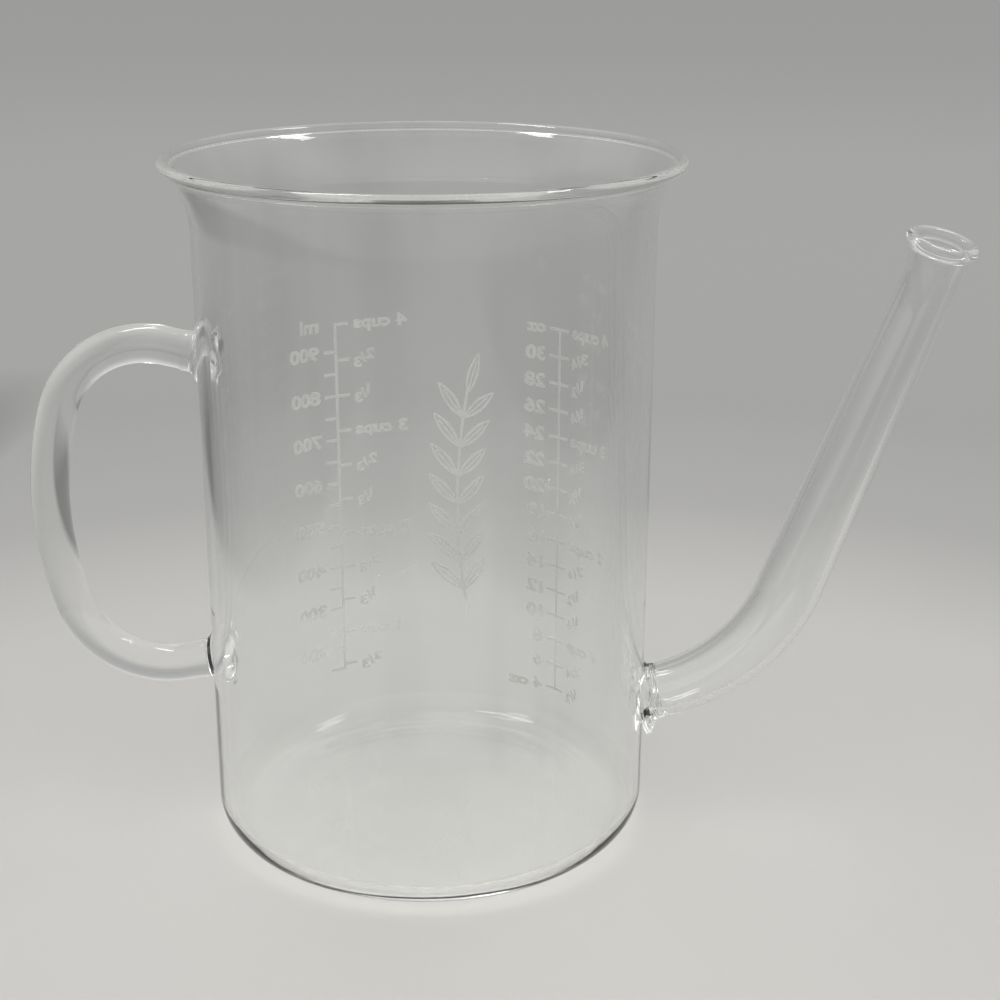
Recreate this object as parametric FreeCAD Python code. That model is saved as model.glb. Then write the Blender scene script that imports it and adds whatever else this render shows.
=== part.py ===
import FreeCAD, Part
import math
import os

from FreeCAD import Vector

# Clear flameworked glass fat separator. A blown beaker stands on its flat base,
# a bent rod handle is sealed to one side, and a pouring spout leaves the other
# side just above the floor. Nothing on it moves. The graduations and a sprig are
# white enamel, fired on the outside of the back wall.
# Millimetres. The origin is the middle of the base on the table, +Z is up,
# the spout leans towards +X, the handle is at -X and the print faces +Y.

# Vessel
BODY_DIAMETER = 107.2        # outside of the straight wall
WALL = 2.4                   # thickness of the blown wall
FLOOR = 3.0                  # thickness of the base
VESSEL_HEIGHT = 166.0        # table to the crest of the rim
HEEL_RADIUS = 8.0            # outside rounding between wall and base
RIM_OVERHANG = 6.6           # rim's reach past the straight wall
RIM_FLARE_RADIUS = 18.5      # outside curve under the rim
RIM_BEAD = 2.8               # diameter of the fire-polished rim

# Handle
ROD_DIAMETER = 9.4           # solid rod
HANDLE_TOP = 118.0           # height at which the upper leg's axis meets the wall
HANDLE_SPAN = 78.6           # between the two legs' axes, at the wall
LEG_LENGTH = 9.2             # wall to the start of the corner, along the leg
LEG_SLOPE = 11.5             # degrees, how much the legs spread away from the wall
CORNER_RADIUS = 23.4         # centre line of the two corners
BACK_RADIUS = 83.5           # centre line of the long back
ROD_SEAL_LENGTH = 3.4        # wall to the rod's end, along the leg
ROD_SEAL_SPREAD = 2.1        # how far the sealed foot stands out past the rod
ROD_SEAL_NECK = 0.5          # how far the seal is drawn in below the rod

# Spout
ROOT_HEIGHT = 32.5           # height at which the root's axis meets the wall
ROOT_RISE = 15.0             # degrees above level
ROOT_DIAMETER = 13.4         # outside of the tube where it leaves the seal
BEND_RADIUS = 45.0           # centre line of the bend
TUBE_DIAMETER = 16.0         # outside at the top of the bend, the widest place
SPOUT_LEAN = 20.0            # degrees from upright above the bend
NECK_DIAMETER = 12.8         # outside just under the lip, the narrowest place
TUBE_WALL = 1.8              # thickness of the tube
TIP_HEIGHT = 148.5           # height of the middle of the mouth
MOUTH_LEAN = 13.2            # degrees from upright, towards +X, of the mouth's own axis
MOUTH_TURN = 10.3            # degrees that the mouth faces towards -Y
ELBOW_RADIUS = 40.0          # centre line of the slight elbow under the lip
LIP_DIAMETER = 16.8          # outside of the flared lip
LIP_FLARE_RADIUS = 26.0      # outside curve under the lip
LIP_BEAD = 3.0               # diameter of the fire-polished lip

# Spout's seal
SPOUT_SEAL_LENGTH = 4.0      # wall to the end of the tube, along the root
SPOUT_SEAL_SPREAD = 3.6      # how far the gather stands out past the tube at the wall
SPOUT_SEAL_NECK = 0.4        # how far the seal is drawn in beside the tube
HOLE_MARGIN = 1.4            # hole in the wall, past the outside of the tube

# Form of every seal, as shares of its length and of its drop from foot to throat
SEAL_BULGE_PLACE = 0.18      # where the foot's curve is fullest
SEAL_BULGE_SHARE = 0.3       # how much of the drop is left there
SEAL_THROAT_PLACE = 0.55     # the narrowest place
SEAL_SHOULDER_PLACE = 0.82   # where the curve meets the tube's own line

# Graduations
ENAMEL = 0.15                # thickness of the fired print
LINE_WIDTH = 0.6             # rails and ticks
SCALE_ZERO = -1.46           # height of the printed zero
TICK_LENGTH = 3.6            # along the wall, from the middle of the rail
CUP = 240.0                  # millilitres
OUNCE = 30.0                 # millilitres
SCALE_TOP_CUPS = 4           # both scales end at this mark
ML_FIRST = 150
ML_LAST = 900
ML_STEP = 50
OUNCE_FIRST = 4
OUNCE_STEP = 2
THIRDS_FIRST = 2             # two thirds of a cup
QUARTERS_FIRST = 2           # half a cup
ML_AZIMUTH = 123.0           # degrees about the upright axis from +X
OUNCE_AZIMUTH = 54.0

# Sprig
SPRIG_AZIMUTH = 84.0
SPRIG_FOOT = 30.0            # height of the stem's foot
SPRIG_LENGTH = 66.0          # straight from the stem's foot to its end
STEM_BOW = 3.0               # how far the stem bows sideways
LEAF_LENGTH = 12.0
LEAF_WIDTH = 3.4
LEAF_PAIRS = 7
LEAF_SPREAD = 42.0           # degrees between a leaf and the stem
END_LEAF_TURN = 8.0          # degrees that the last leaf turns off the stem
END_LEAF_START = 0.98        # share of the stem at which the last leaf starts
PATCH_HALF_WIDTH = 60.0      # degrees of wall to each side that a drawing may cover

# Values that follow from the sizes above
BODY_RADIUS = BODY_DIAMETER / 2
INNER_RADIUS = BODY_RADIUS - WALL
ROD_RADIUS = ROD_DIAMETER / 2
HOLE_RADIUS = ROOT_DIAMETER / 2 + HOLE_MARGIN
SCALE_TOP = SCALE_TOP_CUPS * CUP
UP = Vector(0, 0, 1)


def in_plane(x, z):
    """A point of the upright plane that holds the handle and the spout."""
    return Vector(x, 0, z)


def heading(degrees):
    """Unit vector in that plane, measured up from +X."""
    angle = math.radians(degrees)
    return Vector(math.cos(angle), 0, math.sin(angle))


def line(start, end):
    return Part.LineSegment(start, end).toShape()


def arc(start, middle, end):
    return Part.Arc(start, middle, end).toShape()


def turned(point, centre, degrees):
    """The point turned about the centre, from +X towards +Z."""
    angle = math.radians(degrees)
    out = point - centre
    x = out.x * math.cos(angle) - out.z * math.sin(angle)
    z = out.x * math.sin(angle) + out.z * math.cos(angle)
    return centre + Vector(x, 0, z)


def flare_turn(flare_radius, wall, reach, bead):
    """How many degrees a wall curves outwards to put its bead at the reach."""
    share = (flare_radius - reach + bead / 2) / (flare_radius + wall / 2)
    return math.degrees(math.acos(share))


def flare_height(flare_radius, wall, turn, bead):
    """From the foot of the flare to the crest of its bead."""
    return (flare_radius + wall / 2) * math.sin(math.radians(turn)) + bead / 2


def flared_mouth(radius, height, flare_radius, wall, turn):
    """Edges of a wall that curves outwards, from its outside foot to its inside foot."""
    centre = in_plane(radius + flare_radius, height)
    outer = in_plane(radius, height)
    inner = in_plane(radius - wall, height)
    outer_end = turned(outer, centre, -turn)
    inner_end = turned(inner, centre, -turn)
    return [
        arc(outer, turned(outer, centre, -turn / 2), outer_end),
        line(outer_end, inner_end),
        arc(inner_end, turned(inner, centre, -turn / 2), inner),
    ]


def bead_section(radius, height, flare_radius, wall, turn, bead):
    """Round section of the fire-polished edge at the end of that wall."""
    centre = in_plane(radius + flare_radius, height)
    middle = turned(in_plane(radius - wall / 2, height), centre, -turn)
    circle = Part.Circle(middle, Vector(0, 1, 0), bead / 2)
    return Part.Face(Part.Wire(circle.toShape()))


def spun(edges, bead):
    """Solid of revolution of the closed outline, joined with its bead."""
    wall = Part.Face(Part.Wire(Part.__sortEdges__(edges)))
    wall_solid = wall.revolve(Vector(0, 0, 0), UP, 360)
    return wall_solid.fuse(bead.revolve(Vector(0, 0, 0), UP, 360)).removeSplitter()


def axis_placement(origin, direction):
    """Puts a solid spun about +Z on another axis."""
    return FreeCAD.Placement(origin, FreeCAD.Rotation(UP, direction))


def body_cylinder(radius):
    """Solid as tall as the vessel, for cutting to the wall's curve."""
    return Part.makeCylinder(radius, VESSEL_HEIGHT)


# Spout's route: out of the wall, round the bend, then straight to the mouth
ROOT_POINT = in_plane(BODY_RADIUS, ROOT_HEIGHT)
ROOT_DIRECTION = heading(ROOT_RISE)
SPOUT_DIRECTION = heading(90 - SPOUT_LEAN)
BEND_START = ROOT_POINT + ROOT_DIRECTION * SPOUT_SEAL_LENGTH
BEND_CENTRE = BEND_START + heading(90 + ROOT_RISE) * BEND_RADIUS
BEND_TURN = 90 - SPOUT_LEAN - ROOT_RISE
BEND_END = turned(BEND_START, BEND_CENTRE, BEND_TURN)

# Its mouth: a slight elbow turns the lip's axis off the tube's
MOUTH_X = math.tan(math.radians(MOUTH_LEAN))
MOUTH_Y = -math.tan(math.radians(MOUTH_TURN))
MOUTH_DIRECTION = Vector(MOUTH_X, MOUTH_Y, 1).normalize()
ELBOW_TURN = SPOUT_DIRECTION.getAngle(MOUTH_DIRECTION)
ELBOW_INWARD = (MOUTH_DIRECTION - SPOUT_DIRECTION * math.cos(ELBOW_TURN)).normalize()
NECK_RADIUS = NECK_DIAMETER / 2
LIP_REACH = (LIP_DIAMETER - NECK_DIAMETER) / 2
LIP_TURN = flare_turn(LIP_FLARE_RADIUS, TUBE_WALL, LIP_REACH, LIP_BEAD)
LIP_HEIGHT = flare_height(LIP_FLARE_RADIUS, TUBE_WALL, LIP_TURN, LIP_BEAD)


def elbow_step(angle):
    """From the elbow's start to the point where it has turned by the angle, in radians."""
    forward = SPOUT_DIRECTION * (ELBOW_RADIUS * math.sin(angle))
    return forward + ELBOW_INWARD * (ELBOW_RADIUS * (1 - math.cos(angle)))


ABOVE_NECK = elbow_step(ELBOW_TURN) + MOUTH_DIRECTION * LIP_HEIGHT
STRAIGHT_LENGTH = (TIP_HEIGHT - BEND_END.z - ABOVE_NECK.z) / SPOUT_DIRECTION.z
NECK_POINT = BEND_END + SPOUT_DIRECTION * STRAIGHT_LENGTH
LIP_FOOT = NECK_POINT + elbow_step(ELBOW_TURN)


def root_bore(radius):
    """Cylinder along the root's axis, from inside the vessel to the tube's end."""
    start = ROOT_POINT - ROOT_DIRECTION * INNER_RADIUS
    length = INNER_RADIUS + SPOUT_SEAL_LENGTH
    return Part.makeCylinder(radius, length, start, ROOT_DIRECTION)


def vessel():
    """Blown beaker with a flat base, a rounded heel and a flared, beaded rim."""
    turn = flare_turn(RIM_FLARE_RADIUS, WALL, RIM_OVERHANG, RIM_BEAD)
    flare_foot = VESSEL_HEIGHT - flare_height(RIM_FLARE_RADIUS, WALL, turn, RIM_BEAD)
    heel_centre = in_plane(BODY_RADIUS - HEEL_RADIUS, HEEL_RADIUS)
    inner_heel = HEEL_RADIUS - WALL
    inner_centre = in_plane(INNER_RADIUS - inner_heel, FLOOR + inner_heel)
    heel_foot = heel_centre - UP * HEEL_RADIUS
    heel_top = in_plane(BODY_RADIUS, HEEL_RADIUS)
    floor_edge = inner_centre - UP * inner_heel
    inner_top = in_plane(INNER_RADIUS, FLOOR + inner_heel)
    edges = [
        line(in_plane(0, 0), heel_foot),
        arc(heel_foot, heel_centre + heading(-45) * HEEL_RADIUS, heel_top),
        line(heel_top, in_plane(BODY_RADIUS, flare_foot)),
        line(in_plane(INNER_RADIUS, flare_foot), inner_top),
        arc(inner_top, inner_centre + heading(-45) * inner_heel, floor_edge),
        line(floor_edge, in_plane(0, FLOOR)),
        line(in_plane(0, FLOOR), in_plane(0, 0)),
    ]
    edges += flared_mouth(BODY_RADIUS, flare_foot, RIM_FLARE_RADIUS, WALL, turn)
    bead = bead_section(BODY_RADIUS, flare_foot, RIM_FLARE_RADIUS, WALL, turn, RIM_BEAD)
    return spun(edges, bead).cut(root_bore(HOLE_RADIUS))


def handle_feet():
    """Where each leg's axis meets the wall, and the way that the leg leaves it."""
    upper = in_plane(-BODY_RADIUS, HANDLE_TOP)
    lower = in_plane(-BODY_RADIUS, HANDLE_TOP - HANDLE_SPAN)
    return (upper, heading(180 - LEG_SLOPE)), (lower, heading(180 + LEG_SLOPE))


def handle_rod():
    """Round rod bent to a D: two short legs, two corners and a long shallow back."""
    upper, lower = handle_feet()
    middle_height = HANDLE_TOP - HANDLE_SPAN / 2
    start = upper[0] + upper[1] * ROD_SEAL_LENGTH
    corner_start = upper[0] + upper[1] * LEG_LENGTH
    corner_centre = corner_start + heading(270 - LEG_SLOPE) * CORNER_RADIUS
    rise = corner_centre.z - middle_height
    inset = math.sqrt((BACK_RADIUS - CORNER_RADIUS) ** 2 - rise ** 2)
    back_centre = in_plane(corner_centre.x + inset, middle_height)
    outward = (corner_centre - back_centre).normalize()
    corner_end = corner_centre + outward * CORNER_RADIUS
    back_middle = back_centre - Vector(BACK_RADIUS, 0, 0)
    half_corner = math.degrees(outward.getAngle(heading(90 - LEG_SLOPE))) / 2
    corner_middle = turned(corner_start, corner_centre, half_corner)

    def mirrored(point):
        return in_plane(point.x, 2 * middle_height - point.z)

    path = Part.Wire([
        line(start, corner_start),
        arc(corner_start, corner_middle, corner_end),
        arc(corner_end, back_middle, mirrored(corner_end)),
        arc(mirrored(corner_end), mirrored(corner_middle), mirrored(corner_start)),
        line(mirrored(corner_start), lower[0] + lower[1] * ROD_SEAL_LENGTH),
    ])
    section = Part.Wire(Part.Circle(start, upper[1], ROD_RADIUS).toShape())
    return path.makePipeShell([section], True, True)


def trumpet(length, end_radius, foot_radius, neck, depth):
    """Spun seal that swells from a tube's end down to its foot on the wall.

    It reaches past the foot by the depth, to be cut to the wall's curve.
    """
    throat_radius = end_radius - neck
    drop = foot_radius - throat_radius
    throat = in_plane(throat_radius, length * SEAL_THROAT_PLACE)
    foot = in_plane(foot_radius, 0)
    bulge = in_plane(throat_radius + drop * SEAL_BULGE_SHARE, length * SEAL_BULGE_PLACE)
    shoulder_radius = end_radius - neck * SEAL_BULGE_SHARE
    shoulder = in_plane(shoulder_radius, length * SEAL_SHOULDER_PLACE)
    edges = [
        line(in_plane(0, -depth), in_plane(foot_radius, -depth)),
        line(in_plane(foot_radius, -depth), foot),
        arc(foot, bulge, throat),
        arc(throat, shoulder, in_plane(end_radius, length)),
        line(in_plane(end_radius, length), in_plane(0, length)),
        line(in_plane(0, length), in_plane(0, -depth)),
    ]
    face = Part.Face(Part.Wire(edges))
    return face.revolve(Vector(0, 0, 0), UP, 360)


def rod_seal(foot):
    """Fused collar between one end of the rod and the outside of the wall."""
    point, direction = foot
    spread = ROD_RADIUS + ROD_SEAL_SPREAD
    seal = trumpet(ROD_SEAL_LENGTH, ROD_RADIUS, spread, ROD_SEAL_NECK, HEEL_RADIUS)
    seal.Placement = axis_placement(point, direction)
    return seal.cut(body_cylinder(BODY_RADIUS))


def spout_root_seal():
    """Heavy gather that fills the hole's edge and carries the tube, bored through."""
    end_radius = ROOT_DIAMETER / 2
    spread = end_radius + SPOUT_SEAL_SPREAD
    seal = trumpet(SPOUT_SEAL_LENGTH, end_radius, spread, SPOUT_SEAL_NECK, BODY_RADIUS / 2)
    seal.Placement = axis_placement(ROOT_POINT, ROOT_DIRECTION)
    seal = seal.cut(body_cylinder(INNER_RADIUS))
    seal = seal.cut(vessel())
    return seal.cut(root_bore(end_radius - TUBE_WALL))


def bend_solid(start_radius, end_radius):
    """Solid of round section that grows evenly round the spout's bend."""
    middle = turned(BEND_START, BEND_CENTRE, BEND_TURN / 2)
    path = Part.Wire(arc(BEND_START, middle, BEND_END))
    first = Part.Wire(Part.Circle(BEND_START, ROOT_DIRECTION, start_radius).toShape())
    last = Part.Wire(Part.Circle(BEND_END, SPOUT_DIRECTION, end_radius).toShape())
    return path.makePipeShell([first, last], True, True)


def spout_straight(inset):
    """Upper tube as a solid cone that narrows evenly to the neck, drawn in by the inset."""
    first = TUBE_DIAMETER / 2 - inset
    return Part.makeCone(first, NECK_RADIUS - inset, STRAIGHT_LENGTH, BEND_END, SPOUT_DIRECTION)


def spout_elbow(inset):
    """Slight elbow between the neck and the lip, solid, drawn in by the inset."""
    middle = NECK_POINT + elbow_step(ELBOW_TURN / 2)
    path = Part.Wire(arc(NECK_POINT, middle, LIP_FOOT))
    circle = Part.Circle(NECK_POINT, SPOUT_DIRECTION, NECK_RADIUS - inset)
    return path.makePipeShell([Part.Wire(circle.toShape())], True, True)


def spout_lip():
    """Flared mouth with a round edge, on its own axis."""
    foot = line(in_plane(NECK_RADIUS - TUBE_WALL, 0), in_plane(NECK_RADIUS, 0))
    edges = flared_mouth(NECK_RADIUS, 0, LIP_FLARE_RADIUS, TUBE_WALL, LIP_TURN)
    bead = bead_section(NECK_RADIUS, 0, LIP_FLARE_RADIUS, TUBE_WALL, LIP_TURN, LIP_BEAD)
    lip = spun([foot] + edges, bead)
    lip.Placement = axis_placement(LIP_FOOT, MOUTH_DIRECTION)
    return lip


def spout_tube():
    """Bent glass tube, open all the way."""
    bend = bend_solid(ROOT_DIAMETER / 2, TUBE_DIAMETER / 2)
    bend = bend.cut(bend_solid(ROOT_DIAMETER / 2 - TUBE_WALL, TUBE_DIAMETER / 2 - TUBE_WALL))
    straight = spout_straight(0).cut(spout_straight(TUBE_WALL))
    elbow = spout_elbow(0).cut(spout_elbow(TUBE_WALL))
    return bend.multiFuse([straight, elbow, spout_lip()])


def enamel_shell(start_azimuth, end_azimuth, low, high):
    """Thin patch on the outside of the wall between two azimuths and two heights."""
    sweep = end_azimuth - start_azimuth
    foot = Vector(0, 0, low)
    outer = Part.makeCylinder(BODY_RADIUS + ENAMEL, high - low, foot, UP, sweep)
    inner = Part.makeCylinder(BODY_RADIUS, high - low, foot, UP, sweep)
    patch = outer.cut(inner)
    patch.rotate(Vector(0, 0, 0), UP, start_azimuth)
    return patch


def volume_height(millilitres):
    """Height of a graduation: the straight bore fills evenly."""
    area = math.pi * INNER_RADIUS ** 2
    return SCALE_ZERO + millilitres * 1000 / area


def tick(azimuth, side, millilitres):
    """One graduation, from the rail to one side of it."""
    height = volume_height(millilitres)
    half_rail = math.degrees(LINE_WIDTH / 2 / BODY_RADIUS)
    reach = math.degrees(TICK_LENGTH / BODY_RADIUS)
    start = azimuth - half_rail if side > 0 else azimuth - reach
    end = azimuth + reach if side > 0 else azimuth + half_rail
    return enamel_shell(start, end, height - LINE_WIDTH / 2, height + LINE_WIDTH / 2)


def scale_print(azimuth, volumes, cup_volumes):
    """Rail with metric or ounce ticks on one side and parts of a cup on the other."""
    half_rail = math.degrees(LINE_WIDTH / 2 / BODY_RADIUS)
    low = volume_height(min(volumes + cup_volumes)) - LINE_WIDTH / 2
    high = volume_height(SCALE_TOP) + LINE_WIDTH / 2
    rail = enamel_shell(azimuth - half_rail, azimuth + half_rail, low, high)
    ticks = [tick(azimuth, 1, volume) for volume in volumes]
    ticks += [tick(azimuth, -1, volume) for volume in cup_volumes]
    return rail.multiFuse(ticks).removeSplitter()


def ml_scale_print():
    """Millilitres against thirds of a cup."""
    volumes = list(range(ML_FIRST, ML_LAST + 1, ML_STEP))
    thirds = [n * CUP / 3 for n in range(THIRDS_FIRST, 3 * SCALE_TOP_CUPS + 1)]
    return scale_print(ML_AZIMUTH, volumes, thirds)


def ounce_scale_print():
    """Fluid ounces against quarters of a cup."""
    last = int(SCALE_TOP / OUNCE)
    volumes = [n * OUNCE for n in range(OUNCE_FIRST, last + 1, OUNCE_STEP)]
    quarters = [n * CUP / 4 for n in range(QUARTERS_FIRST, 4 * SCALE_TOP_CUPS + 1)]
    return scale_print(OUNCE_AZIMUTH, volumes, quarters)


def leaf(foot, degrees):
    """One slim leaf, pointed at both ends, growing from its foot on the stem."""
    tip = Vector(LEAF_LENGTH, 0, 0)
    base = Vector(0, 0, 0)
    upper = arc(base, Vector(LEAF_LENGTH / 2, LEAF_WIDTH / 2, 0), tip)
    lower = arc(tip, Vector(LEAF_LENGTH / 2, -LEAF_WIDTH / 2, 0), base)
    blade = Part.Face(Part.Wire([upper, lower]))
    blade.rotate(base, UP, degrees)
    blade.translate(foot)
    return blade


def sprig_drawing():
    """Bowed stem, and its paired leaves with one at the end, flat, growing along +Y."""
    radius = (SPRIG_LENGTH ** 2 / 4 + STEM_BOW ** 2) / (2 * STEM_BOW)
    half_turn = math.asin(SPRIG_LENGTH / 2 / radius)
    centre = Vector(STEM_BOW - radius, SPRIG_LENGTH / 2, 0)

    def on_stem(share, stem_radius):
        angle = (2 * share - 1) * half_turn
        out = Vector(math.cos(angle), math.sin(angle), 0)
        return centre + out * stem_radius, math.degrees(angle)

    wide = radius + LINE_WIDTH / 2
    narrow = radius - LINE_WIDTH / 2
    stem = Part.Face(Part.Wire([
        arc(on_stem(0, wide)[0], on_stem(0.5, wide)[0], on_stem(1, wide)[0]),
        line(on_stem(1, wide)[0], on_stem(1, narrow)[0]),
        arc(on_stem(1, narrow)[0], on_stem(0.5, narrow)[0], on_stem(0, narrow)[0]),
        line(on_stem(0, narrow)[0], on_stem(0, wide)[0]),
    ]))
    leaves = []
    for pair in range(1, LEAF_PAIRS + 1):
        foot, slope = on_stem(pair / (LEAF_PAIRS + 1), radius)
        leaves.append(leaf(foot, 90 + slope - LEAF_SPREAD))
        leaves.append(leaf(foot, 90 + slope + LEAF_SPREAD))
    tip, slope = on_stem(END_LEAF_START, radius)
    leaves.append(leaf(tip, 90 + slope + END_LEAF_TURN))
    return stem, leaves


def sprig_print():
    """The sprig drawing laid on the wall as a thin enamel line."""
    stem, leaves = sprig_drawing()
    depth = UP * BODY_DIAMETER
    prism = stem.extrude(depth).multiFuse([blade.extrude(depth) for blade in leaves])
    prism.rotate(Vector(0, 0, 0), Vector(1, 0, 0), 90)
    prism.rotate(Vector(0, 0, 0), UP, 180)
    prism.translate(Vector(0, 0, SPRIG_FOOT))
    prism.rotate(Vector(0, 0, 0), UP, SPRIG_AZIMUTH - 90)
    low = SPRIG_FOOT - LEAF_LENGTH
    high = SPRIG_FOOT + SPRIG_LENGTH + LEAF_LENGTH * 2
    first_azimuth = SPRIG_AZIMUTH - PATCH_HALF_WIDTH
    shell = enamel_shell(first_azimuth, SPRIG_AZIMUTH + PATCH_HALF_WIDTH, low, high)
    return shell.common(prism)


def build():
    upper_foot, lower_foot = handle_feet()
    nodes = {
        "vessel": vessel(),
        "handle_rod": handle_rod(),
        "handle_upper_seal": rod_seal(upper_foot),
        "handle_lower_seal": rod_seal(lower_foot),
        "spout_tube": spout_tube(),
        "spout_root_seal": spout_root_seal(),
        "ml_scale_print": ml_scale_print(),
        "ounce_scale_print": ounce_scale_print(),
        "sprig_print": sprig_print(),
    }
    os.makedirs("parts", exist_ok=True)
    for name, shape in nodes.items():
        state = "valid" if shape.isValid() else "INVALID"
        print(name, len(shape.Solids), state, round(shape.Volume, 1), shape.BoundBox)
        shape.exportStep("parts/" + name + ".step")


build()
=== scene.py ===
import bmesh
import bpy
from math import acos, asin, atan2, cos, degrees, pi, radians, sin, sqrt, tan
from mathutils import Matrix, Vector


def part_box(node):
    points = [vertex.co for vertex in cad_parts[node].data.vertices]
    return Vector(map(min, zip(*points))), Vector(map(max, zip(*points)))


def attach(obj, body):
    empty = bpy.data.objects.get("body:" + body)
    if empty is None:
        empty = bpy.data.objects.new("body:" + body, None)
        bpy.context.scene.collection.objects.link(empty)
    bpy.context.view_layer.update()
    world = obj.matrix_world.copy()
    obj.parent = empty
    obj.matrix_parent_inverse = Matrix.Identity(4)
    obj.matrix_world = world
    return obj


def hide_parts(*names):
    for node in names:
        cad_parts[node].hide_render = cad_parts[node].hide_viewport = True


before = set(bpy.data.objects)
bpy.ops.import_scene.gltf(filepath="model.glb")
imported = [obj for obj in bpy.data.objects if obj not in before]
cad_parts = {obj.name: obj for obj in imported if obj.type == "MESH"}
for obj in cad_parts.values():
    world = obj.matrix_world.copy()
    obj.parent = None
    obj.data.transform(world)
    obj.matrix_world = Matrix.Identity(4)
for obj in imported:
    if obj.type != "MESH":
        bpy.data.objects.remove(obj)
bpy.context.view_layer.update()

# Glass body: a blown borosilicate beaker, with the rod handle and the pouring
# spout melted onto it, so that it is one clear body with no seam inside. It is
# lathed and swept piece by piece, then joined as the flame joins it.

MM = 0.001
vessel_low, vessel_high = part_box("vessel")
rim_crest = vessel_high[2]
body_radius = 53.6 * MM
wall = 2.4 * MM
inner_radius = body_radius - wall
floor_thickness = 3.0 * MM
heel_radius = 8.0 * MM
rim_flare_radius = 18.5 * MM
rim_overhang = vessel_high[1] - body_radius
rim_bead = 2.8 * MM
bead_blend = 0.75            # share of the bead over which the flare runs into it
flare_steps = 16
bead_steps = 22
bead_gap = 12                # degrees left open at each end of the bead for a smooth join
round_steps = 256
merge_distance = 1e-7


def turn_steps(centre, radius, start, end, steps):
    """Points of an arc in the plane of the profile, angles in degrees."""
    points = []
    for step in range(steps + 1):
        angle = radians(start + (end - start) * step / steps)
        points.append((centre[0] + radius * cos(angle), centre[1] + radius * sin(angle)))
    return points


def straight_steps(start, end, steps):
    """Points between two ends, without the ends."""
    span = [(end[axis] - start[axis]) / steps for axis in (0, 1)]
    return [(start[0] + span[0] * step, start[1] + span[1] * step) for step in range(1, steps)]


def mesh_object(name, vertices, faces):
    """A new object in the scene from corners and faces."""
    mesh = bpy.data.meshes.new(name)
    mesh.from_pydata(vertices, [], faces)
    mesh.update()
    piece = bpy.data.objects.new(name, mesh)
    bpy.context.scene.collection.objects.link(piece)
    return piece


def outward(piece, merge=True):
    """Turns every face outwards, and merges doubles unless its parts only touch."""
    shape = bmesh.new()
    shape.from_mesh(piece.data)
    if merge:
        bmesh.ops.remove_doubles(shape, verts=shape.verts, dist=merge_distance)
    bmesh.ops.recalc_face_normals(shape, faces=shape.faces)
    shape.to_mesh(piece.data)
    shape.free()
    return piece


def lathe(name, profile, steps, uneven=None):
    """Closed solid of revolution. The profile runs from axis to axis or is a closed ring."""
    vertices = []
    rings = []
    for radius, height in profile:
        ring = []
        if radius == 0.0:
            vertices.append((0.0, 0.0, height))
            ring = [len(vertices) - 1] * steps
        else:
            for step in range(steps):
                angle = 2 * pi * step / steps
                r = radius if uneven is None else radius + uneven(radius, angle, height)
                vertices.append((r * cos(angle), r * sin(angle), height))
                ring.append(len(vertices) - 1)
        rings.append(ring)
    faces = []
    for lower, upper in zip(rings, rings[1:]):
        for step in range(steps):
            following = (step + 1) % steps
            corners = [lower[step], lower[following], upper[following], upper[step]]
            kept = list(dict.fromkeys(corners))
            if len(kept) > 2:
                faces.append(kept)
    return outward(mesh_object(name, vertices, faces))


def flared_edge(radius, foot, flare_radius, thickness, overhang, bead):
    """Outline of a flared wall with a round bead, from its outside foot to its inside foot."""
    share = (flare_radius - overhang + bead / 2) / (flare_radius + thickness / 2)
    turn = degrees(acos(share))
    centre = (radius + flare_radius, foot)
    middle = flare_radius + thickness / 2
    bead_centre = (centre[0] - middle * share, foot + middle * sin(radians(turn)))
    blend = degrees(bead_blend * bead / flare_radius)
    outer = turn_steps(centre, flare_radius, 180, 180 - turn + blend, flare_steps)
    inner = turn_steps(centre, flare_radius + thickness, 180 - turn + blend, 180, flare_steps)
    start = degrees(atan2(outer[-1][1] - bead_centre[1], outer[-1][0] - bead_centre[0]))
    end = degrees(atan2(inner[0][1] - bead_centre[1], inner[0][0] - bead_centre[0]))
    end = end + 360 if end < start else end
    round_edge = turn_steps(bead_centre, bead / 2, start + bead_gap, end - bead_gap, bead_steps)
    return outer + round_edge + inner


def flare_foot(flare_radius, thickness, overhang, bead, crest):
    """Where the flare has to start so that its bead ends at the crest."""
    share = (flare_radius - overhang + bead / 2) / (flare_radius + thickness / 2)
    return crest - bead / 2 - (flare_radius + thickness / 2) * sqrt(1 - share * share)


rim_foot = flare_foot(rim_flare_radius, wall, rim_overhang, rim_bead, rim_crest)
rim_edge = flared_edge(body_radius, rim_foot, rim_flare_radius, wall, rim_overhang, rim_bead)
heel_centre = (body_radius - heel_radius, heel_radius)
inner_heel = heel_radius - wall
inner_centre = (inner_radius - inner_heel, floor_thickness + inner_heel)
wall_rings = 56
heel_steps = 16
inner_heel_steps = 14
rise_steps = 12
kick_up = 0.6 * MM           # the base's middle is drawn up a little, so it stands on a ring
standing_ring = 45.0 * MM
rise_width = 13.0 * MM       # from the ring's lowest line to the level middle
level_rings = (0.0, 14.0 * MM, 28.0 * MM)
crowned_floor = [(40.0 * MM, 0.05 * MM), (32.0 * MM, 0.2 * MM), (20.0 * MM, 0.32 * MM),
                 (0.0, 0.4 * MM)]      # radius, and how far the floor inside stands higher there


def base_rise(radius):
    """Height of the drawn-up base at this radius."""
    share = min(1.0, (standing_ring - radius) / rise_width)
    return kick_up * 0.5 * (1 - cos(pi * share))


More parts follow.
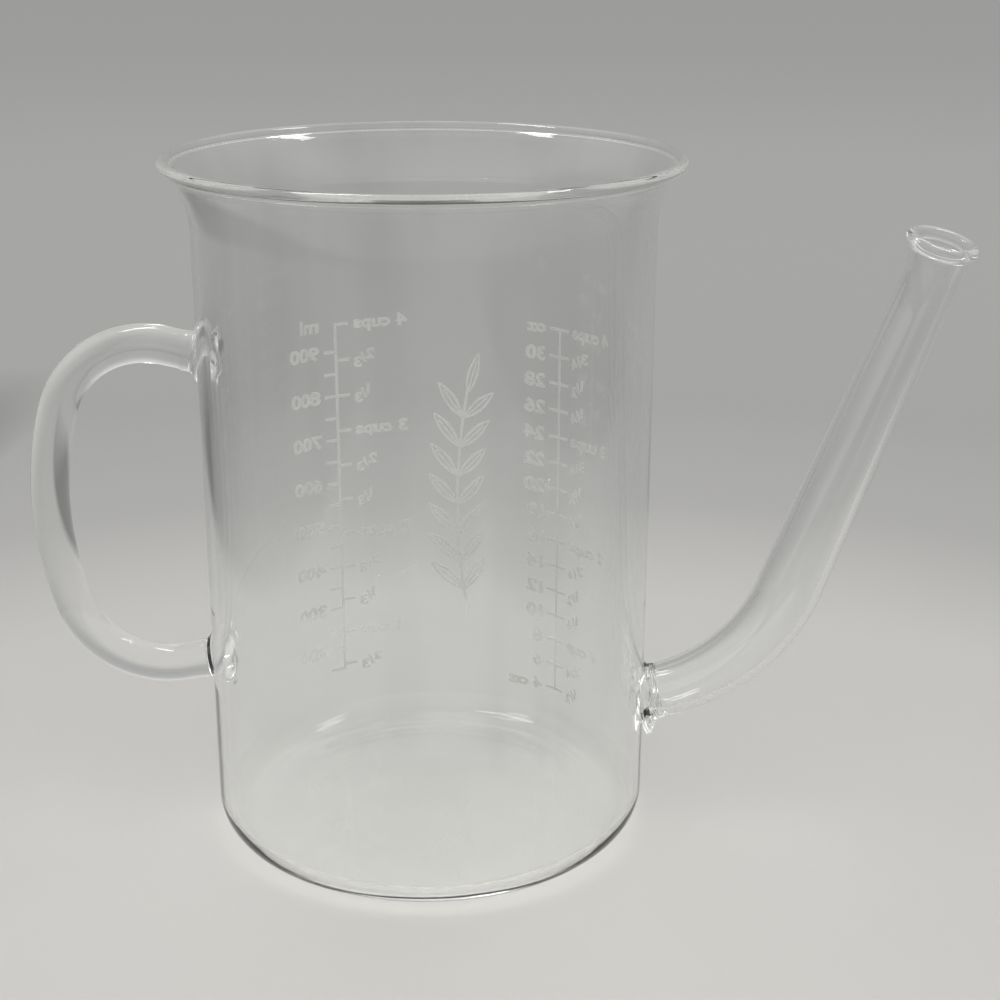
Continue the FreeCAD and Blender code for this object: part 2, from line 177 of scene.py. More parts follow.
rise_rings = [standing_ring - rise_width * step / rise_steps for step in range(rise_steps, -1, -1)]
blank_profile = (
    [(radius, kick_up) for radius in level_rings]
    + [(radius, base_rise(radius)) for radius in rise_rings]
    + turn_steps(heel_centre, heel_radius, -90, 0, heel_steps)
    + straight_steps((body_radius, heel_radius), (body_radius, rim_foot), wall_rings)
    + rim_edge
    + straight_steps((inner_radius, rim_foot), (inner_radius, inner_centre[1]), wall_rings)
    + turn_steps(inner_centre, inner_heel, 0, -90, inner_heel_steps)
    + [(radius, floor_thickness + crown) for radius, crown in crowned_floor]
)
unevenness = 0.045 * MM
outside_share = 0.25         # the outside is smoother than the inside
wall_waves = [(5, 1.0, 0.7), (9, 0.7, 2.1), (17, 0.5, 4.0)]      # waves round, strength, start
swell_share = 0.2
swell_pitch = 40             # radians for each metre of height
rim_fade = 12.0 * MM         # the rim is pressed true, so the unevenness dies out below it


def blown_unevenness(radius, angle, height):
    """Faint standing waves that drawn and blown glass keeps, strongest inside the wall."""
    if radius < inner_radius * 0.9:
        return 0.0
    share = 1.0 if radius < body_radius - wall / 2 else outside_share
    share *= max(0.0, min(1.0, (rim_crest - height) / rim_fade))
    waves = sum(strength * sin(count * angle + start) for count, strength, start in wall_waves)
    swell = 1 - swell_share + swell_share * sin(swell_pitch * height)
    return share * unevenness * waves * swell


glass_body = lathe("glass_body", blank_profile, round_steps, blown_unevenness)


def section_frames(path):
    """Tangent and in-plane normal at each point of a path in the XZ plane."""
    frames = []
    for index, point in enumerate(path):
        before = path[max(index - 1, 0)]
        after = path[min(index + 1, len(path) - 1)]
        tangent = (Vector(after) - Vector(before)).normalized()
        frames.append((Vector(point), tangent, Vector((-tangent.z, 0.0, tangent.x))))
    return frames


def swept(name, path, radii, steps):
    """Closed round-section solid along a path in the XZ plane."""
    vertices = []
    faces = []
    for (point, tangent, normal), radius in zip(section_frames(path), radii):
        for step in range(steps):
            angle = 2 * pi * step / steps
            side = Vector((0.0, 1.0, 0.0)) * sin(angle) + normal * cos(angle)
            vertices.append(point + side * radius)
    rings = len(path)
    for ring in range(rings - 1):
        for step in range(steps):
            following = (step + 1) % steps
            faces.append((ring * steps + step, ring * steps + following,
                          (ring + 1) * steps + following, (ring + 1) * steps + step))
    faces.append(tuple(range(steps)))
    faces.append(tuple(range((rings - 1) * steps, rings * steps)))
    return outward(mesh_object(name, vertices, faces))


def plane_arc(centre, start, turn, steps):
    """Points of an arc in the XZ plane from the start, turning by so many degrees."""
    arm = Vector(start) - Vector(centre)
    points = []
    for step in range(steps + 1):
        angle = radians(turn * step / steps)
        points.append(Vector(centre) + Vector((arm.x * cos(angle) - arm.z * sin(angle), 0.0,
                                               arm.x * sin(angle) + arm.z * cos(angle))))
    return points


def heading(angle):
    """Direction in the XZ plane, in degrees from +X."""
    return Vector((cos(radians(angle)), 0.0, sin(radians(angle))))


# Rod handle: solid glass rod bent to a D over a former. Each end is heated and
# pressed onto the wall, which swells it to a foot with a faint crinkled ring.

rod_radius = 4.7 * MM
handle_top = 118.0 * MM
handle_span = 78.6 * MM
leg_length = 9.2 * MM
leg_slope = 11.5
corner_radius = 23.4 * MM
back_radius = 83.5 * MM
foot_spread = 2.1 * MM
foot_length = 3.4 * MM
foot_depth = 1.2 * MM        # how far the foot's own glass reaches into the wall
foot_ring = 0.22 * MM        # height of the soft ring round the foot
ring_width = 0.22            # as a share of the foot's length
ring_fall = 2.718            # how steeply the ring's bell shape falls off, about e
foot_reach = 1.6             # foot and ring end at so many times the foot's length
trumpet = 2.2                # how steeply the foot opens at the wall
rod_sides = 72

upper_foot = Vector((-body_radius, 0.0, handle_top))
lower_foot = Vector((-body_radius, 0.0, handle_top - handle_span))
middle_height = handle_top - handle_span / 2
corner_start = upper_foot + heading(180 - leg_slope) * leg_length
corner_centre = corner_start + heading(270 - leg_slope) * corner_radius
rise = corner_centre.z - middle_height
inset = sqrt((back_radius - corner_radius) ** 2 - rise ** 2)
back_centre = Vector((corner_centre.x + inset, 0.0, middle_height))
corner_turn = 90 + leg_slope - degrees(asin(rise / (back_radius - corner_radius)))
back_turn = 2 * degrees(asin(rise / (back_radius - corner_radius)))

leg_points = 22
corner_steps = 34
back_steps = 44
leg = [upper_foot + heading(180 - leg_slope) * (leg_length * step / leg_points - foot_depth)
       for step in range(leg_points)]
corner = plane_arc(corner_centre, corner_start, corner_turn, corner_steps)
back = plane_arc(back_centre, corner[-1], back_turn, back_steps)
half = leg + corner
mirrored = [Vector((point.x, 0.0, 2 * middle_height - point.z)) for point in reversed(half)]
handle_path = half + back[1:-1] + mirrored


def foot_radius(distance, tube_radius, spread, length, ring):
    """Radius beside a sealed end: a trumpet foot with one soft ring where the glass gathered."""
    if distance > length * foot_reach:
        return tube_radius
    share = max(0.0, 1 - distance / length)
    swell = spread * share ** trumpet
    gathered = ring * pow(ring_fall, -((distance - length) / (ring_width * length)) ** 2)
    return tube_radius + swell + gathered


def handle_radii(path):
    """The rod's radius at each point of its path."""
    radii = []
    for point in path:
        distance = min((point - upper_foot).length, (point - lower_foot).length)
        if abs(point.x) < body_radius:
            distance = 0.0
        radii.append(foot_radius(distance, rod_radius, foot_spread, foot_length, foot_ring))
    return radii


handle = swept("handle", handle_path, handle_radii(handle_path), rod_sides)

# Spout: bent glass tube, wide at the bend and narrow at the neck, with a flared
# and fire-polished lip. Its root is blown open and sealed to the hole's edge in
# a heavy gather, so its bore runs straight through the wall.

root_height = 32.5 * MM
root_rise = 15.0
root_tube_radius = 6.7 * MM
bend_radius = 45.0 * MM
bend_tube_radius = 8.0 * MM
spout_lean = 20.0
neck_radius = 6.4 * MM
tube_wall = 1.8 * MM
tip_height = 148.5 * MM
mouth_lean = 13.2            # degrees from upright of the mouth's own axis, away from the vessel
mouth_turn = 10.3            # degrees that the mouth faces towards -Y
elbow_radius = 40.0 * MM
lip_radius = 8.4 * MM
lip_flare_radius = 26.0 * MM
lip_bead = 3.0 * MM
gather_length = 4.0 * MM
gather_spread = 3.6 * MM
gather_ring = 0.25 * MM
bend_steps = 48
root_steps = 14
steps_in_wall = 4            # rings of the root that lie inside the wall
straight_rings = 40
elbow_rings = 10
spout_sides = 80
bore_sides = 72
bore_entry = 8.0 * MM        # how far the bore's cutter starts inside the vessel
bore_exit = 4.0 * MM         # and how far it ends above the lip

root_point = Vector((body_radius, 0.0, root_height))
bend_start = root_point + heading(root_rise) * gather_length
bend_centre = bend_start + heading(90 + root_rise) * bend_radius
bend_turn = 90 - spout_lean - root_rise
bend = plane_arc(bend_centre, bend_start, bend_turn, bend_steps)
spout_direction = heading(90 - spout_lean)
mouth_direction = Vector((tan(radians(mouth_lean)), -tan(radians(mouth_turn)), 1.0)).normalized()
elbow_turn = spout_direction.angle(mouth_direction)
elbow_inward = (mouth_direction - spout_direction * cos(elbow_turn)).normalized()
lip_overhang = lip_radius - neck_radius
lip_height = -flare_foot(lip_flare_radius, tube_wall, lip_overhang, lip_bead, 0.0)
lip_edge = flared_edge(neck_radius, 0.0, lip_flare_radius, tube_wall, lip_overhang, lip_bead)


def elbow_step(angle):
    """From the elbow's start to where it has turned by the angle."""
    forward = spout_direction * (elbow_radius * sin(angle))
    return forward + elbow_inward * (elbow_radius * (1 - cos(angle)))


above_neck = elbow_step(elbow_turn) + mouth_direction * lip_height
straight_length = (tip_height - bend[-1].z - above_neck.z) / spout_direction.z
neck_point = bend[-1] + spout_direction * straight_length
lip_foot = neck_point + elbow_step(elbow_turn)

route = []                   # centre, axis and outside radius of each ring of the tube
for step in range(-steps_in_wall, root_steps):
    distance = gather_length * step / root_steps
    swell = foot_radius(max(0.0, distance), root_tube_radius, gather_spread, gather_length,
                        gather_ring)
    route.append((root_point + heading(root_rise) * distance, heading(root_rise), swell))
for step, point in enumerate(bend):
    share = step / (len(bend) - 1)
    swell = root_tube_radius + (bend_tube_radius - root_tube_radius) * share
    route.append((point, heading(root_rise + bend_turn * share), swell))
for step in range(1, straight_rings + 1):
    share = step / straight_rings
    narrowed = bend_tube_radius + (neck_radius - bend_tube_radius) * share
    route.append((bend[-1] + spout_direction * straight_length * share, spout_direction, narrowed))
for step in range(1, elbow_rings + 1):
    angle = elbow_turn * step / elbow_rings
    axis = (spout_direction * cos(angle) + elbow_inward * sin(angle)).normalized()
    route.append((neck_point + elbow_step(angle), axis, neck_radius))
crest = max(range(len(lip_edge)), key=lambda index: lip_edge[index][1])
lip_outside = [(lip_foot + mouth_direction * height, mouth_direction, radius)
               for radius, height in lip_edge[1:crest + 1]]
lip_inside = [(lip_foot + mouth_direction * height, mouth_direction, radius)
              for radius, height in lip_edge[crest:-1][::-1]]


def ringed_solid(name, rings, steps):
    """Closed solid through rings, each with its centre, its axis and its radius."""
    vertices = []
    faces = []
    for centre, axis, radius in rings:
        across = Vector((0.0, 1.0, 0.0)).cross(axis).normalized()
        other = axis.cross(across)
        for step in range(steps):
            angle = 2 * pi * step / steps
            vertices.append(centre + (across * cos(angle) + other * sin(angle)) * radius)
    for ring in range(len(rings) - 1):
        for step in range(steps):
            following = (step + 1) % steps
            faces.append((ring * steps + step, ring * steps + following,
                          (ring + 1) * steps + following, (ring + 1) * steps + step))
    faces.append(tuple(range(steps)))
    faces.append(tuple(range((len(rings) - 1) * steps, len(rings) * steps)))
    return outward(mesh_object(name, vertices, faces))


root_bore_radius = root_tube_radius - tube_wall
bore_start = (root_point - heading(root_rise) * bore_entry, heading(root_rise), root_bore_radius)
bore_end = (lip_foot + mouth_direction * (lip_edge[crest][1] + bore_exit), mouth_direction,
            lip_inside[-1][2])
root_rings = root_steps + steps_in_wall
bore_route = [(centre, axis, root_bore_radius) for centre, axis, radius in route[:root_rings]]
bore_route += [(centre, axis, radius - tube_wall) for centre, axis, radius in route[root_rings:]]
spout_outside = ringed_solid("spout_outside", route + lip_outside, spout_sides)
spout_bore = ringed_solid("spout_bore", [bore_start] + bore_route + lip_inside + [bore_end],
                          bore_sides)
weld_distance = 0.002 * MM


def flame_join(piece, other, operation):
    """Melts one solid into another, or takes it away, and drops the other."""
    modifier = piece.modifiers.new("join", "BOOLEAN")
    modifier.operation = operation
    modifier.solver = "EXACT"
    modifier.object = other
    graph = bpy.context.evaluated_depsgraph_get()
    mesh = bpy.data.meshes.new_from_object(piece.evaluated_get(graph))
    piece.modifiers.clear()
    piece.data = mesh
    bpy.data.objects.remove(other)


flame_join(glass_body, handle, "UNION")
flame_join(glass_body, spout_outside, "UNION")
flame_join(glass_body, spout_bore, "DIFFERENCE")
shape = bmesh.new()
shape.from_mesh(glass_body.data)
bmesh.ops.remove_doubles(shape, verts=shape.verts, dist=weld_distance)
bmesh.ops.triangulate(shape, faces=[face for face in shape.faces if len(face.verts) > 4])
shape.to_mesh(glass_body.data)
shape.free()
glass_body.data.shade_smooth()


class Socket:
    """Shader maths as Python expressions on one value socket."""

    def __init__(self, tree, socket):
        self.tree = tree
        self.socket = socket

    def maths(self, operation, first, second):
        node = self.tree.nodes.new("ShaderNodeMath")
        node.operation = operation
        for place, value in enumerate((first, second)):
            if isinstance(value, Socket):
                self.tree.links.new(value.socket, node.inputs[place])
            else:
                node.inputs[place].default_value = value
        return Socket(self.tree, node.outputs[0])

    def __add__(self, other):
        return self.maths("ADD", self, other)

    def __radd__(self, other):
        return self.maths("ADD", other, self)

    def __sub__(self, other):
        return self.maths("SUBTRACT", self, other)

    def __rsub__(self, other):
        return self.maths("SUBTRACT", other, self)

    def __mul__(self, other):
        return self.maths("MULTIPLY", self, other)


class Finish:
    """A material's node tree, with one call for any node: _6 is its seventh input."""

    def __init__(self, name):
        self.material = bpy.data.materials.new(name)
        self.material.use_nodes = True
        self.tree = self.material.node_tree
        self.tree.nodes.clear()
        self.output = self.tree.nodes.new("ShaderNodeOutputMaterial")

    def node(self, kind, out=0, stops=None, settings=None, **values):
        node = self.tree.nodes.new(kind)
        for key, value in (settings or {}).items():
            setattr(node, key, value)
        if stops:
            while len(node.color_ramp.elements) < len(stops):
                node.color_ramp.elements.new(0.5)
            for element, (place, colour) in zip(node.color_ramp.elements, stops):
                element.position = place
                element.color = (*colour, 1.0)
        for key, value in values.items():
            target = node.inputs[int(key[1:]) if key[1:].isdigit() else key.replace("_", " ")]
            if isinstance(value, Socket):
                self.tree.links.new(value.socket, target)
            else:
                target.default_value = value
        return Socket(self.tree, node.outputs[out])

    def surface(self, shader):
        self.tree.links.new(shader.socket, self.output.inputs["Surface"])
        return self.material


glass_tint = (0.974, 0.979, 0.976, 1.0)
streak_tint = (0.89, 0.9, 0.895, 1.0)
shadow_tint = (0.955, 0.96, 0.957, 1.0)
borosilicate_index = 1.473
trapped_depth = 4.0          # light caught inside the wall comes out after so many turns
base_trapped_depth = 6.0     # and later in the base, which is thicker


def clear_glass():
    """Water-clear borosilicate with the faint upright streaks of drawn glass."""
    finish = Finish("clear_glass")
    place = finish.node("ShaderNodeTexCoord", out=3)
    streaks_place = finish.node("ShaderNodeMapping", Vector=place, Scale=(1.0, 1.0, 0.02))
    streaks = finish.node("ShaderNodeTexNoise", Vector=streaks_place, Scale=62.0, Detail=2.0,
                          Roughness=0.55)
    fade = finish.node("ShaderNodeTexNoise", Vector=place, Scale=14.0, Detail=1.0)
    normal = finish.node("ShaderNodeBump", Height=streaks * 0.8 + fade * 0.2, Strength=0.2,
                         Distance=0.0004)
    upright = finish.node("ShaderNodeSeparateXYZ", out=2, Vector=place)
    above_base = finish.node("ShaderNodeMapRange", Value=upright, From_Min=0.01, From_Max=0.05)
    turns = finish.node("ShaderNodeMapRange", Value=upright, From_Min=0.02, From_Max=0.05,
                        To_Min=base_trapped_depth, To_Max=trapped_depth)
    streak_share = finish.node("ShaderNodeMapRange", Value=streaks * fade * above_base,
                               From_Min=0.22, From_Max=0.36)
    tint = finish.node("ShaderNodeMix", out=2, settings={"data_type": "RGBA"}, _0=streak_share,
                       _6=glass_tint, _7=streak_tint)
    glass = finish.node("ShaderNodeBsdfPrincipled", Base_Color=tint, Roughness=0.0,
                        IOR=borosilicate_index, Transmission_Weight=1.0, Normal=normal)
    through = finish.node("ShaderNodeBsdfTransparent", Color=shadow_tint)
    is_shadow = finish.node("ShaderNodeLightPath", out="Is Shadow Ray")
    depth = finish.node("ShaderNodeLightPath", out="Ray Depth")
    spent = depth.maths("GREATER_THAN", depth, turns)
    passes = is_shadow.maths("MAXIMUM", is_shadow, spent)
    return finish.surface(finish.node("ShaderNodeMixShader", _0=passes, _1=glass, _2=through))


glass_finish = clear_glass()
glass_body.data.materials.clear()
glass_body.data.materials.append(glass_finish)
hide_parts("vessel", "handle_rod", "handle_upper_seal", "handle_lower_seal",
            "spout_tube", "spout_root_seal")
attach(glass_body, "root")

# Graduations: white enamel screened on the outside of the back wall and fired.
# Rails and ticks are drawn flat, set out by a rule, then laid on the wall. They
# read from outside, so they show mirrored through the glass.

enamel_lift = 0.09 * MM
enamel_thickness = 0.10 * MM
line_width = 0.8 * MM
tick_length = 3.6 * MM
scale_zero = -1.46 * MM      # where the wall's own volume would start, below the rounded inside
cup = 240.0                  # volumes are in millilitres
ounce = 30.0
top_volume = 4 * cup
lowest_ml_tick = 150
highest_ml_tick = 900
ml_tick_step = 50
ml_azimuth = 123.0
ounce_azimuth = 54.0


def white_enamel():
    """Screened enamel: flat white, thinner in places, with a fine grain."""
    finish = Finish("white_enamel")
    place = finish.node("ShaderNodeTexCoord", out=3)
    grain = finish.node("ShaderNodeTexNoise", Vector=place, Scale=2600.0, Detail=2.0)
    patches = finish.node("ShaderNodeTexNoise", Vector=place, Scale=160.0, Detail=1.0)
    thin = grain * 0.5 + patches * 0.5
    colour = finish.node("ShaderNodeValToRGB", Fac=thin,
                         stops=[(0.3, (0.765, 0.76, 0.735)), (0.62, (0.84, 0.835, 0.81))])
    rough = 0.42 + grain * 0.2
    normal = finish.node("ShaderNodeBump", Height=grain, Strength=0.15, Distance=0.00005)
    return finish.surface(finish.node("ShaderNodeBsdfPrincipled", Base_Color=colour,
                                      Roughness=rough, Normal=normal))


enamel_finish = white_enamel()


rise_for_millilitre = MM * MM / (pi * inner_radius ** 2)


def volume_height(millilitres):
    """Height of a volume's tick."""
    return scale_zero + millilitres * rise_for_millilitre


def lay_on_wall(piece, azimuth):
    """Bends a flat drawing, x to its reader's right and y up, round the outside of the wall."""
    for vertex in piece.data.vertices:
        angle = radians(azimuth) + vertex.co.x / body_radius
        radius = body_radius + enamel_lift + vertex.co.z
        vertex.co = (radius * cos(angle), radius * sin(angle), vertex.co.y)
    piece.data.update()
    return outward(piece, merge=False)


def node_tree(name, sizes):
    """Empty geometry tree with a mesh in, a mesh out and named number inputs."""
    tree = bpy.data.node_groups.new(name, "GeometryNodeTree")
    tree.interface.new_socket("Geometry", in_out="INPUT", socket_type="NodeSocketGeometry")
    tree.interface.new_socket("Geometry", in_out="OUTPUT", socket_type="NodeSocketGeometry")
    for size, kind in sizes.items():
        tree.interface.new_socket(size, in_out="INPUT", socket_type=kind)
    return tree, tree.nodes.new("NodeGroupInput"), tree.nodes.new("NodeGroupOutput")


def tick_row_tree():
    """Ticks in a row up the wall: a flat bar set out at even steps, then given its thickness."""
    tree, given, out = node_tree("tick_row", {
        "Count": "NodeSocketInt", "First": "NodeSocketFloat", "Step": "NodeSocketFloat",
        "Length": "NodeSocketFloat", "Width": "NodeSocketFloat", "Depth": "NodeSocketFloat",
        "Finish": "NodeSocketMaterial"})
    add = tree.nodes.new
    link = tree.links.new
    row = add("GeometryNodeMeshLine")
    row.mode = "OFFSET"
    start = add("ShaderNodeCombineXYZ")
    offset = add("ShaderNodeCombineXYZ")
    size = add("ShaderNodeCombineXYZ")
    half = add("ShaderNodeMath")
    half.operation = "MULTIPLY"
    half.inputs[1].default_value = 0.5
    bar = add("GeometryNodeMeshCube")
    bar.inputs["Vertices X"].default_value = 6
    shift = add("GeometryNodeTransform")
    move = add("ShaderNodeCombineXYZ")
    absolute = add("ShaderNodeMath")
    absolute.operation = "ABSOLUTE"
    placed = add("GeometryNodeInstanceOnPoints")
    real = add("GeometryNodeRealizeInstances")
    painted = add("GeometryNodeSetMaterial")
    link(given.outputs["Count"], row.inputs["Count"])
    link(given.outputs["First"], start.inputs["Y"])
    link(start.outputs[0], row.inputs["Start Location"])
    link(given.outputs["Step"], offset.inputs["Y"])
    link(offset.outputs[0], row.inputs["Offset"])
    link(given.outputs["Length"], absolute.inputs[0])
    link(absolute.outputs[0], size.inputs["X"])
    link(given.outputs["Width"], size.inputs["Y"])
    link(given.outputs["Depth"], size.inputs["Z"])
    link(size.outputs[0], bar.inputs["Size"])
    link(given.outputs["Length"], half.inputs[0])
    link(half.outputs[0], move.inputs["X"])
    link(bar.outputs["Mesh"], shift.inputs["Geometry"])
    link(move.outputs[0], shift.inputs["Translation"])
    link(row.outputs["Mesh"], placed.inputs["Points"])
    link(shift.outputs["Geometry"], placed.inputs["Instance"])
    link(placed.outputs["Instances"], real.inputs["Geometry"])
    link(real.outputs["Geometry"], painted.inputs["Geometry"])
    link(given.outputs["Finish"], painted.inputs["Material"])
    link(painted.outputs["Geometry"], out.inputs["Geometry"])
    return tree


tick_tree = tick_row_tree()


def grown(name, tree, sizes):
    """A plain mesh object from a geometry tree with these named inputs."""
    piece = mesh_object(name, [], [])
    modifier = piece.modifiers.new("grow", "NODES")
    modifier.node_group = tree
    identifiers = {item.name: item.identifier for item in tree.interface.items_tree
                   if item.in_out == "INPUT"}
    for size, value in sizes.items():
        modifier[identifiers[size]] = value
    graph = bpy.context.evaluated_depsgraph_get()
    mesh = bpy.data.meshes.new_from_object(piece.evaluated_get(graph))
    piece.modifiers.clear()
    piece.data = mesh
    return piece


def joined(name, pieces):
    """Several plain mesh objects as one."""
    shape = bmesh.new()
    for piece in pieces:
        shape.from_mesh(piece.data)
        bpy.data.objects.remove(piece)
    mesh = bpy.data.meshes.new(name)
    shape.to_mesh(mesh)
    shape.free()
    mesh.materials.append(enamel_finish)
    piece = bpy.data.objects.new(name, mesh)
    bpy.context.scene.collection.objects.link(piece)
    return piece


def tick_row(first, last, step, side):
    """One row of ticks, side +1 to the reader's right of the rail and -1 to its left."""
    count = int(round((last - first) / step)) + 1
    return grown("ticks", tick_tree, {
        "Count": count, "First": volume_height(first), "Step": step * rise_for_millilitre,
        "Length": side * tick_length, "Width": line_width, "Depth": enamel_thickness,
        "Finish": enamel_finish})


def rail(first):
    """The upright line that carries both rows of ticks."""
    low = volume_height(first)
    high = volume_height(top_volume)
    piece = grown("rail", tick_tree, {
        "Count": 1, "First": (low + high) / 2, "Step": 0.0, "Length": line_width,
        "Width": high - low + line_width, "Depth": enamel_thickness, "Finish": enamel_finish})
    for vertex in piece.data.vertices:
        vertex.co.x -= line_width / 2
    return piece


def finish_print(piece, azimuth, node=None):
    """Lays a drawing on the wall, where it stands for its node if it has one."""
    lay_on_wall(piece, azimuth)
    if node:
        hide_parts(node)
    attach(piece, "root")
    return piece


ml_scale = joined("ml_scale", [
    rail(lowest_ml_tick), tick_row(lowest_ml_tick, highest_ml_tick, ml_tick_step, 1),
    tick_row(2 * cup / 3, top_volume, cup / 3, -1)])
finish_print(ml_scale, ml_azimuth, "ml_scale_print")
ounce_scale = joined("ounce_scale", [
    rail(4 * ounce), tick_row(4 * ounce, top_volume, 2 * ounce, 1),
    tick_row(cup / 2, top_volume, cup / 4, -1)])
finish_print(ounce_scale, ounce_azimuth, "ounce_scale_print")

# Numerals: the same enamel, screened with the ticks. Plain bold numbers and units
# stand beside each rail, with parts of a cup as small slanted fractions.

numeral_size = 4.9 * MM
word_size = 4.4 * MM
fraction_size = 3.7 * MM
label_gap = 1.2 * MM
numeral_width = 1.32         # the figures are drawn wide
numeral_weight = 0.045       # how far each outline is grown, as a share of the size
fraction_raise = 0.26
fraction_drop = 0.3
stroke_overlap = 0.05
figure_overlap = 0.12


def lettered(text, size):
    """Bold flat text as a thin mesh, its left end and middle height at the origin."""
    curve = bpy.data.curves.new("numeral", "FONT")
    curve.body = text
    curve.size = size
    curve.offset = numeral_weight * size
    curve.extrude = enamel_thickness / 2
    curve.resolution_u = 3
    curve.align_y = "CENTER"
    source = bpy.data.objects.new("numeral", curve)
    bpy.context.scene.collection.objects.link(source)
    graph = bpy.context.evaluated_depsgraph_get()
    graph.update()
    mesh = bpy.data.meshes.new_from_object(source.evaluated_get(graph))
    bpy.data.objects.remove(source)
    piece = bpy.data.objects.new("numeral", mesh)
    bpy.context.scene.collection.objects.link(piece)
    for vertex in mesh.vertices:
        vertex.co.x *= numeral_width
    left = min(vertex.co.x for vertex in mesh.vertices)
    for vertex in mesh.vertices:
        vertex.co.x -= left
    return outward(piece)


def reach(piece):
    """How far a drawing goes to its reader's right."""
    return max(vertex.co.x for vertex in piece.data.vertices)


def moved(piece, x, y):
    """A drawing, shifted before it is laid on the wall."""
    for vertex in piece.data.vertices:
        vertex.co.x += x
        vertex.co.y += y
    return piece


def fraction(text):
    """A raised upper figure, a slanted stroke and a lowered lower figure."""
    upper, lower = text.split("/")
    size = fraction_size
    first = moved(lettered(upper, size), 0.0, fraction_raise * size)
    stroke = moved(lettered("/", size), reach(first) - stroke_overlap * size, 0.0)
    last = moved(lettered(lower, size), reach(stroke) - figure_overlap * size,
                 -fraction_drop * size)
    return joined("fraction", [first, stroke, last])


def numeral(text, volume, side, size):
    """One label beside its tick."""
    piece = fraction(text) if "/" in text else lettered(text, size)
    start = side * (tick_length + label_gap)
    if side < 0:
        start -= reach(piece)
    return moved(piece, start, volume_height(volume))


def cup_labels(parts, first):
    """Labels of the cup side: whole cups in words, parts as fractions."""
    names = {(1, 3): "1/3", (2, 3): "2/3", (1, 4): "1/4", (2, 4): "1/2", (3, 4): "3/4"}
    labels = []
    for count in range(first, 4 * parts + 1):
        whole, rest = divmod(count, parts)
        text = names[(rest, parts)] if rest else str(whole) + (" cup" if whole == 1 else " cups")
        labels.append(numeral(text, count * cup / parts, -1, word_size))
    return labels


ml_numerals = [numeral(str(volume), volume, 1, numeral_size)
               for volume in range(200, highest_ml_tick + 1, 100)]
ml_numerals.append(numeral("ml", top_volume, 1, numeral_size))
finish_print(joined("ml_numerals", ml_numerals + cup_labels(3, 2)), ml_azimuth)
ounce_numerals = [numeral(str(count), count * ounce, 1, numeral_size)
                  for count in range(6, 31, 2)]
ounce_numerals.append(numeral("4 oz", 4 * ounce, 1, word_size))
ounce_numerals.append(numeral("oz", top_volume, 1, word_size))
finish_print(joined("ounce_numerals", ounce_numerals + cup_labels(4, 2)), ounce_azimuth)

# Sprig: one enamel drawing between the two scales, a bowed stem with paired slim
# leaves and a leaf at its end, screened and fired with the rest.

sprig_azimuth = 84.0
sprig_foot = 30.0 * MM
sprig_length = 66.0 * MM
stem_bow = 3.0 * MM
leaf_length = 12.0 * MM
leaf_width = 3.4 * MM
leaf_pairs = 7
leaf_spread = 42.0
end_leaf_turn = 8.0
end_leaf_start = 0.98        # share of the stem at which the last leaf starts
leaf_steps = 14
stem_steps = 40
outline_share = 0.5          # half a leaf line, and half a midrib, as shares of the line
midrib_share = 0.36
midrib_length = 0.8          # as a share of the leaf
leaf_point = 0.55            # thinness of a leaf's line at its ends
stem_radius = (sprig_length ** 2 / 4 + stem_bow ** 2) / (2 * stem_bow)
stem_half_turn = asin(sprig_length / 2 / stem_radius)


def on_stem(share):
    """Point of the stem's arc and the arc's slope there, seen by the reader."""
    angle = (2 * share - 1) * stem_half_turn
    x = stem_bow - stem_radius + stem_radius * cos(angle)
    y = sprig_foot + sprig_length / 2 + stem_radius * sin(angle)
    return x, y, pi / 2 + angle


def leaf_strip(x, y, angle):
    """One leaf as two thin bowed lines and a midrib, growing from its foot."""
    pieces = []
    for side in (1, -1, 0):
        half_line = line_width * (outline_share if side else midrib_share)
        upper = []
        lower = []
        for step in range(leaf_steps + 1):
            share = step / leaf_steps * (1 if side else midrib_length)
            along_leaf = leaf_length * share
            bow = side * (leaf_width / 2 - half_line) * sin(pi * share)
            taper = half_line * (leaf_point + (1 - leaf_point) * sin(pi * share))
            upper.append((along_leaf, bow + taper))
            lower.append((along_leaf, bow - taper))
        ring = upper + lower[::-1]
        turned = [(x + px * cos(angle) - py * sin(angle), y + px * sin(angle) + py * cos(angle))
                  for px, py in ring]
        pieces.append(strip_solid(turned, leaf_steps + 1))
    return pieces


def strip_solid(ring, count):
    """Thin solid ribbon from an outline of so many points up one side and back down the other."""
    front = [(x, y, enamel_thickness / 2) for x, y in ring]
    back_face = [(x, y, -enamel_thickness / 2) for x, y in ring]
    total = len(ring)
    faces = []
    for step in range(count - 1):
        a, b = step, step + 1
        c, d = total - 2 - step, total - 1 - step
        faces.append((a, b, c, d))
        faces.append((a + total, d + total, c + total, b + total))
    for step in range(total):
        following = (step + 1) % total
        faces.append((step, following, following + total, step + total))
    return mesh_object("ribbon", front + back_face, faces)


stem_ring = []
for side in (1, -1):
    for step in range(stem_steps + 1):
        share = step / stem_steps if side > 0 else 1 - step / stem_steps
        x, y, slope = on_stem(share)
        out = side * line_width / 2
        stem_ring.append((x - out * sin(slope), y + out * cos(slope)))
sprig_parts = [strip_solid(stem_ring, stem_steps + 1)]
for pair in range(1, leaf_pairs + 1):
    x, y, slope = on_stem(pair / (leaf_pairs + 1))
    for turn in (leaf_spread, -leaf_spread):
        sprig_parts += leaf_strip(x, y, slope + radians(turn))
x, y, slope = on_stem(end_leaf_start)
sprig_parts += leaf_strip(x, y, slope + radians(end_leaf_turn))
finish_print(joined("sprig", sprig_parts), sprig_azimuth, "sprig_print")
